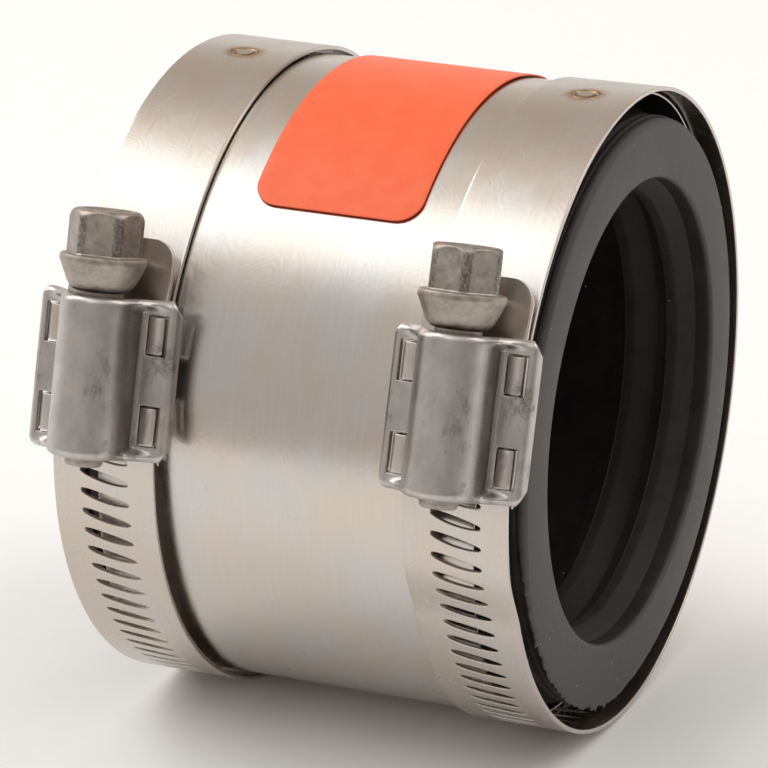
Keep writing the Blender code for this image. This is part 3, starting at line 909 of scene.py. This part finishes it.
def make_slotted_strip(name, matrix, clamp_angle, band_radius):
    """The rest of the strip: down the back, slotted up the front and through the housing."""
    corner = TONGUE_CORNER / band_radius
    lift_start = LIFT_START[name]

    def place(sheet, angle, x):
        slanted = 1 - smoothstep((angle - 10.5 * DEG) / (6 * DEG))
        slanted *= smoothstep((angle + 150 * DEG) / (12 * DEG))
        around = angle - slanted * math.tan(SLOT_SLANT) * x / band_radius
        inset = corner_inset((TONGUE_END - angle) * band_radius, TONGUE_CORNER)
        across = x * (1 - inset / (BAND_WIDTH / 2))
        rise = min(max((around - lift_start) / (LIFT_END - lift_start), 0), 1)
        radius = band_radius + LIFT * (0.4 * rise + 0.6 * smoothstep(rise))
        bent = min(around, TONGUE_FLAT_START)
        length = (around - bent) * radius
        y = radius * math.sin(bent) + length * math.cos(bent)
        z = radius * math.cos(bent) - length * math.sin(bent)
        z -= TONGUE_CURVE * length**2 / (2 * radius)
        return sheet.point((across, y, z), (across, around * band_radius, 0))

    half_pitch = SLOT_PITCH / 2
    seam = STRIP_SEAM - clamp_angle - 2 * math.pi
    first = SLOT_FIRST - (SLOT_COUNT - 1) * SLOT_PITCH
    cells = [(seam, first - half_pitch, None)]
    for index in range(SLOT_COUNT):
        middle = first + index * SLOT_PITCH
        cells.append((middle - half_pitch, middle + half_pitch, slot_opening))
    cells.append((SLOT_FIRST + half_pitch, TONGUE_END - corner, None))
    ends = eased(TONGUE_END - 2 * corner, TONGUE_END, 20)[10:]
    cells += [(a, b, None) for a, b in zip(ends, ends[1:])]
    sheet = Sheet()
    lay_strip(sheet, cells, STRIP_COLUMNS, place, band_radius)
    piece = finish_strip(sheet, f"clamp_strip_slotted_{name}", matrix)
    steel = strip_steel(f"slotted_stainless_{name}")
    fit_out(piece, steel, [f"band_end_{name}"])
    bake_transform(piece)


# ---------------------------------------------------------------- worm housing

def housing_sections():
    """Matching (x, z) outlines of the housing's half: through its middle and near its ends."""
    quarter = math.pi / 2
    barrel = [
        (BARREL_RADIUS * math.sin(a), SCREW_HEIGHT + BARREL_RADIUS * math.cos(a))
        for a in spread(0, quarter, 14)
    ]
    floor = FLANGE_HEIGHT
    wall_x = BARREL_RADIUS
    fillet = 0.45 * MM
    middle = barrel + [(wall_x, 4.4 * MM), (wall_x, 3.6 * MM)]
    middle += arc((wall_x + fillet, floor + fillet), fillet, math.pi, 1.5 * math.pi, 4)
    flats = [WINDOW_X[0], 5.8 * MM, 6.4 * MM, 7.0 * MM, WINDOW_X[1], 7.8 * MM]
    middle += [(x, floor) for x in flats]
    bend = arc((7.8 * MM, floor - 0.9 * MM), 0.89 * MM, quarter, 0, 5)[1:]
    bend += [(8.69 * MM, 1.2 * MM), (8.68 * MM, 0.7 * MM)]
    middle += bend
    shoulder = len(barrel) - 4
    slope_count = len(middle) - len(bend) - shoulder
    start = Vector(barrel[shoulder - 1])
    end = Vector((7.8 * MM, floor))
    pull_start = start + Vector((0.55 * MM, -1.5 * MM))
    pull_end = end + Vector((-1.7 * MM, 0.25 * MM))
    slope = []
    for i in range(1, slope_count + 1):
        t = i / slope_count
        a, b, c, d = (1 - t) ** 3, 3 * (1 - t) ** 2 * t, 3 * (1 - t) * t**2, t**3
        slope.append(tuple(a * start + b * pull_start + c * pull_end + d * end))
    return middle, barrel[:shoulder] + slope + bend


def housing_reach(index, count):
    """How far along Y a column of the outline goes: the outer corners are cut off round."""
    from_edge = count - 1 - index
    cut = (1.35, 1.05, 0.75, 0.48, 0.27, 0.12, 0.04)
    if from_edge < len(cut):
        return HOUSING_HALF_LENGTH - cut[from_edge] * MM
    return HOUSING_HALF_LENGTH


def housing_rows(sheet, band_radius):
    """Outlines from one end to the other, drawn together and turned down at both ends."""
    middle, ending = housing_sections()
    count = len(middle)
    low, high = WINDOW_Y
    flat = HOUSING_HALF_LENGTH - HOUSING_TURN
    half = [0, 0.75 * MM, 1.5 * MM, 2.2 * MM, low]
    half += spread(low, high, 6)[1:]
    half += spread(high, flat, 6)[1:]
    half += [flat + HOUSING_TURN * math.sin(a) for a in spread(0, 84 * DEG, 7)[1:]]
    columns = [(-1, i) for i in reversed(range(1, count))] + [(1, i) for i in range(count)]
    rows = []
    for y in both_ways(half):
        away = abs(y)
        share = smoothstep((away - high - 0.15 * MM) / (1.1 * MM))
        past = max(0, away - flat) / HOUSING_TURN
        drop = HOUSING_TURN * (1 - math.sqrt(max(0, 1 - past * past)))
        row = []
        for sign, index in columns:
            x = mix(middle[index][0], ending[index][0], share)
            z = mix(middle[index][1], ending[index][1], share)
            before = ending[max(index - 1, 0)]
            after = ending[min(index + 1, count - 1)]
            tangent = Vector((after[0] - before[0], after[1] - before[1])).normalized()
            if index == 0:
                tangent = Vector((1, 0))
            x += tangent.y * drop
            z -= tangent.x * drop
            reach = housing_reach(index, count) / HOUSING_HALF_LENGTH
            squeezed = y * (1 - (1 - reach) * smoothstep((away - 3 * MM) / (5 * MM)))
            local = (sign * max(x, 0), squeezed, z)
            row.append(sheet.point((local[0], squeezed, z + band_radius), local))
        rows.append(row)
    return rows


def cut_windows(sheet):
    holes = []
    for face in sheet.bm.faces:
        centre = face.calc_center_median()
        inside_x = WINDOW_X[0] < abs(centre.x) < WINDOW_X[1]
        if inside_x and WINDOW_Y[0] < abs(centre.y) < WINDOW_Y[1]:
            holes.append(face)
    bmesh.ops.delete(sheet.bm, geom=holes, context="FACES")


def make_housing(name, matrix, band_radius):
    sheet = Sheet()
    sheet.rows(housing_rows(sheet, band_radius))
    cut_windows(sheet)
    piece = fold_up(
        sheet, f"worm_housing_{name}", lambda co: Vector((0, 0, 1)), HOUSING_THICKNESS,
        0.16 * MM, matrix, 40 * DEG,
    )
    # Painted shade darkens the fold beside the barrel, between |x| 4.25 and 4.72 mm.
    steel = pressed_steel(
        f"housing_stainless_{name}", (0.44, 0.412, 0.395), (0.13, 0.12, 0.11), 0.32,
        fold=(4.25, 4.72),
    )
    fit_out(piece, steel, [f"housing_{name}"])
    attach(piece, "sleeve")


# ---------------------------------------------------------------- saddle

def tab_outline(bottom):
    """(x, z) up a tab's side, over its bend and inwards to its tip."""
    bend = 0.5 * MM
    arch = 0.75 * MM
    side = SADDLE_HALF_WIDTH
    top = FLANGE_HEIGHT + 0.22 * MM
    outline = arc((side - bend, bottom + bend), bend, -math.pi / 2, 0, 4)
    outline += [(side, 1.2 * MM)]
    outline += arc((side - arch, top - arch), arch, 0, math.pi / 2, 7)
    outline += [(6.3 * MM, top + 0.02 * MM), (5.8 * MM, top - 0.02 * MM)]
    return outline + [(5.5 * MM, top - 0.1 * MM), (5.3 * MM, top - 0.22 * MM)]


def make_saddle(name, matrix, band_radius):
    """The curved plate under the strip and its four tabs, folded in one sheet."""
    bottom = 0.2 * MM
    tab = tab_outline(bottom)
    plate_x = spread(-tab[0][0], tab[0][0], 12)
    inner, outer = WINDOW_Y[0] + 0.2 * MM, WINDOW_Y[1] - 0.2 * MM
    half = [0, 1.0 * MM, 2.0 * MM, inner] + spread(inner, outer, 6)[1:]
    sheet = Sheet()
    rows = []
    wings = {-1: [], 1: []}
    for y in both_ways([*half, 8.2 * MM, SADDLE_HALF_LENGTH]):
        sink = band_radius - math.sqrt(band_radius**2 - y**2)
        z = bottom - sink
        row = [sheet.point((x, y, z + band_radius), (x, y, z)) for x in plate_x]
        rows.append(row)
        for side in (-1, 1):
            wing = [row[0] if side < 0 else row[-1]]
            if inner - 0.001 * MM <= abs(y) <= outer + 0.001 * MM:
                for x, z in tab[1:]:
                    settled = z - sink * max(0, 1 - (z - bottom) / (1.6 * MM))
                    wing.append(sheet.point((side * x, y, settled + band_radius), (side * x, y, z)))
            wings[side].append(wing)
    sheet.rows(rows)
    for side in (-1, 1):
        for low, high in zip(wings[side], wings[side][1:]):
            if len(low) > 1 and len(high) > 1:
                sheet.quads(low, high)
    piece = fold_up(
        sheet, f"saddle_plate_{name}", lambda co: side_of_saddle(co, band_radius),
        SADDLE_THICKNESS, 0.1 * MM, matrix, 40 * DEG,
    )
    steel = pressed_steel(
        f"saddle_stainless_{name}", (0.53, 0.49, 0.455), (0.12, 0.11, 0.10), 0.33, 0.54
    )
    fit_out(piece, steel, [f"saddle_{name}"])
    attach(piece, "sleeve")


def side_of_saddle(co, band_radius):
    """The outer side of the folded sheet: down on the plate, outwards and up on the tabs."""
    if co.z > band_radius + 2.4 * MM:
        return Vector((0, 0, 1))
    if co.z > band_radius + 0.9 * MM:
        return Vector((math.copysign(1, co.x), 0, 0))
    return Vector((0, 0, -1))


# ---------------------------------------------------------------- worm screw

def hexagon_radius(angle):
    """Distance from the axis to the hexagon's side, with its corners turned down."""
    sector = (angle + 30 * DEG) % (60 * DEG) - 30 * DEG
    return min(HEX_HALF_FLATS / math.cos(sector), HEX_CORNER_RADIUS)


def thread_radius(angle, y):
    """The worm's surface: a trapezoid tooth on a right-hand helix, run out at both ends."""
    phase = (y / THREAD_PITCH - angle / (2 * math.pi)) % 1
    tooth = abs(phase - 0.5) * THREAD_PITCH
    height = 1 - smoothstep((tooth - 0.3 * MM) / (0.5 * MM))
    runout = smoothstep((THREAD_HALF - abs(y)) / (0.8 * MM))
    return CORE_RADIUS + (THREAD_RADIUS - CORE_RADIUS) * height * runout


def screw_angles():
    angles = []
    half_corner = 4.2 * DEG
    for sector in range(6):
        middle = sector * 60 * DEG
        angles += spread(middle - 30 * DEG + half_corner, middle + 30 * DEG - half_corner, 12)
        angles += spread(middle + 30 * DEG - half_corner, middle + 30 * DEG + half_corner, 4)[1:-1]
    return angles


def screw_rows():
    """(y, radius as a function of the angle) from the tip to the head's rim."""
    rows = []

    def plain(y, radius):
        rows.append((y * MM, lambda angle: radius * MM))

    for y, radius in ((-10.4, 1.55), (-10.36, 1.85), (-10.2, 2.08), (-10.0, 2.18)):
        plain(y, radius)
    plain(-9.7, 2.2)
    plain(-9.3, 2.65)
    plain(-9.1, 2.7)
    for y in spread(-8.2 * MM, 8.2 * MM, 130):
        rows.append((y, lambda angle, y=y: thread_radius(angle, y)))
    for y, radius in ((9.6, 2.7), (9.75, 3.2), (9.95, 3.42), (10.3, 3.72), (10.6, 3.92)):
        plain(y, radius)
    for share in spread(0, 1, 5)[1:]:
        plain(10.6 + 2.15 * share, 3.92 + 0.95 * share)
    for y, radius in ((12.9, 4.96), (13.1, 5.0), (13.45, 5.0), (13.65, 4.93), (13.74, 4.75)):
        plain(y, radius)
    plain(13.78, 4.55)
    rows.append((HEX_START, lambda angle: hexagon_radius(angle) + 0.12 * MM))
    rows.append((HEX_START + 0.14 * MM, hexagon_radius))
    for share in spread(0, 1, 4)[1:]:
        rows.append((mix(HEX_START + 0.14 * MM, 17.7 * MM, share), hexagon_radius))
    last = 76 * DEG
    for angle in spread(0, last, 12)[1:]:
        height = HEX_END - HEX_DOME * (1 - math.sin(angle) / math.sin(last))
        around = HEX_CORNER_RADIUS - 1.0 * MM * (1 - math.cos(angle))
        rows.append((height, lambda angle, around=around: min(hexagon_radius(angle), around)))
    return rows


def make_screw(name, matrix, band_radius):
    angles = screw_angles()
    sheet = Sheet()
    rings = []

    def ring(y, radius_at):
        points = []
        for angle in angles:
            radius = radius_at(angle)
            turned = angle + HEX_TURN[name]
            local = Vector((radius * math.sin(turned), y, -radius * math.cos(turned)))
            points.append(sheet.point(local + Vector((0, 0, band_radius + SCREW_HEIGHT)), local))
        return points

    for y, radius_at in screw_rows():
        rings.append(ring(y, radius_at))
    rings.append(ring(HEX_END, lambda angle: 2.9 * MM))
    rings.append(ring(HEX_END - 0.22 * MM, lambda angle: 2.55 * MM))
    rings.append(ring(HEX_END - 0.3 * MM, lambda angle: 1.2 * MM))
    sheet.rows(rings, closed=True)
    sheet.cap(rings[0])
    sheet.cap(rings[-1])
    bmesh.ops.recalc_face_normals(sheet.bm, faces=sheet.bm.faces[:])
    piece = sheet.finish(f"worm_screw_{name}", matrix, 32 * DEG)
    fit_out(piece, screw_steel(f"screw_dull_steel_{name}"), [f"screw_{name}"])
    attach(piece, f"screw_{name}")


# ---------------------------------------------------------------- spot weld

def make_weld(name, side, band_radius, material):
    """A dimpled disc flush in the strip, with a sunk ring where the electrode pressed."""
    surface = band_radius - STRIP_DIP[name] - 0.03 * MM
    base = SHIELD_RADIUS + 0.06 * MM
    profile = [(0, 0), (0.5, 0.0), (0.85, 0.01), (1.08, -0.03), (1.22, -0.14), (1.34, -0.14)]
    profile += [(1.46, -0.02), (1.6, 0.0), (1.68, -0.06)]
    sheet = Sheet()
    steps = 64
    rings = []
    for radius, height in profile[1:]:
        points = []
        for step in range(steps):
            angle = 2 * math.pi * step / steps
            x, y = radius * MM * math.cos(angle), radius * MM * math.sin(angle)
            z = surface + height * MM - y * y / (2 * band_radius)
            points.append(sheet.point((side * BAND_CENTRE_X + x, y, z), (x, y, 0)))
        rings.append(points)
    foot = [
        sheet.point((point.co.x, point.co.y, base), point[sheet.place]) for point in rings[-1]
    ]
    sheet.rows([*rings, foot], closed=True)
    sheet.cap(rings[0])
    sheet.cap(foot)
    bmesh.ops.recalc_face_normals(sheet.bm, faces=sheet.bm.faces[:])
    piece = sheet.finish(f"spot_weld_{name}")
    fit_out(piece, material, [f"weld_{name}"])
    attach(piece, "sleeve")


# ---------------------------------------------------------------- camera, light and floor

def make_camera():
    a, e = CAMERA_AZIMUTH, CAMERA_ELEVATION
    back = Vector((math.sin(a) * math.cos(e), -math.cos(a) * math.cos(e), math.sin(e)))
    right = Vector((math.cos(a), math.sin(a), 0))
    up = back.cross(right)
    place = back * CAMERA_DISTANCE + right * CAMERA_ASIDE + up * CAMERA_RAISED
    data = bpy.data.cameras.new("camera")
    data.lens = LENS
    data.sensor_width = 36
    data.clip_start = 0.05
    data.clip_end = 20
    camera = bpy.data.objects.new("camera", data)
    bpy.context.scene.collection.objects.link(camera)
    turn = Matrix((right, up, back)).transposed().to_4x4()
    camera.matrix_world = Matrix.Translation(place) @ turn
    bpy.context.scene.camera = camera


def make_softbox(name, place, size, power, colour=(1, 1, 1)):
    """A lamp of this size and power, in metres and watts, that faces the coupling."""
    data = bpy.data.lights.new(name, "AREA")
    data.shape = "RECTANGLE"
    data.size, data.size_y = size
    data.energy = power
    data.color = colour
    light = bpy.data.objects.new(name, data)
    bpy.context.scene.collection.objects.link(light)
    light.location = place
    light.rotation_euler = Vector(place).to_track_quat("Z", "Y").to_euler()


def make_world():
    """Soft grey surroundings: brightest overhead, warmer behind and darker on the bore's side."""
    world = bpy.data.worlds.new("studio")
    world.use_nodes = True
    tree = world.node_tree
    direction = add(tree, "ShaderNodeTexCoord").outputs["Generated"]
    x, y, z = coordinates(tree, direction)
    climb = maths(tree, "ARCTAN2", z, times(tree, y, -1.0))
    colour = ramp(
        tree, maths(tree, "DIVIDE", climb, math.pi),
        (
            (0.00, (0.56, 0.52, 0.49)), (0.25, (0.62, 0.59, 0.56)), (0.33, (0.85, 0.84, 0.82)),
            (0.42, (1.04, 1.04, 1.02)), (0.50, (0.88, 0.86, 0.83)), (0.60, (0.80, 0.74, 0.68)),
            (0.68, (0.62, 0.55, 0.48)), (0.82, (0.56, 0.50, 0.44)), (0.94, (0.80, 0.75, 0.70)),
            (1.00, (0.95, 0.93, 0.90)),
        ),
    )
    share = rescale(tree, x, -1.0, 1.0)
    side = ramp(tree, share, ((0.0, 1.1), (0.55, 1.0), (0.78, 0.76), (1.0, 0.50)))
    colour = blend_colours(tree, 1.0, colour, side, "MULTIPLY")
    tree.links.new(colour, tree.nodes["Background"].inputs["Color"])
    bpy.context.scene.world = world


def make_lights():
    make_world()
    make_softbox("top_softbox", (-0.22, -0.185, 0.54), (1.0, 0.21), 0.72, (0.94, 0.97, 1.0))
    make_softbox("left_softbox", (-0.95, 0.05, 0.75), (0.6, 1.0), 3.8)
    make_softbox("right_softbox", (0.75, 0.45, 0.85), (0.6, 0.8), 3.0)


def make_floor():
    level = cad_low.z - 0.05 * MM
    sheet = Sheet()
    rows = []
    for y in spread(FLOOR_FRONT, FLOOR_SIZE, 8):
        rows.append([sheet.point((x, y, level)) for x in spread(-FLOOR_SIZE, FLOOR_SIZE, 8)])
    sheet.rows(rows)
    sheet.orient(lambda co: Vector((0, 0, 1)))
    floor = sheet.finish("studio_floor")
    floor.data.materials.append(floor_material())


# ---------------------------------------------------------------- everything

def main():
    bpy.context.scene.view_settings.view_transform = "Standard"
    make_camera()
    make_lights()
    make_floor()
    make_gasket()
    make_shield()
    make_label()
    weld = weld_material()
    for name, side, angle, band_radius in CLAMPS:
        matrix = clamp_matrix(side, angle)
        band_radius -= SHRINK
        make_fixed_strip(name, side, matrix, angle, band_radius)
        make_slotted_strip(name, matrix, angle, band_radius)
        make_housing(name, matrix, band_radius)
        make_saddle(name, matrix, band_radius)
        make_screw(name, matrix, band_radius)
        make_weld(name, side, band_radius, weld)


main()
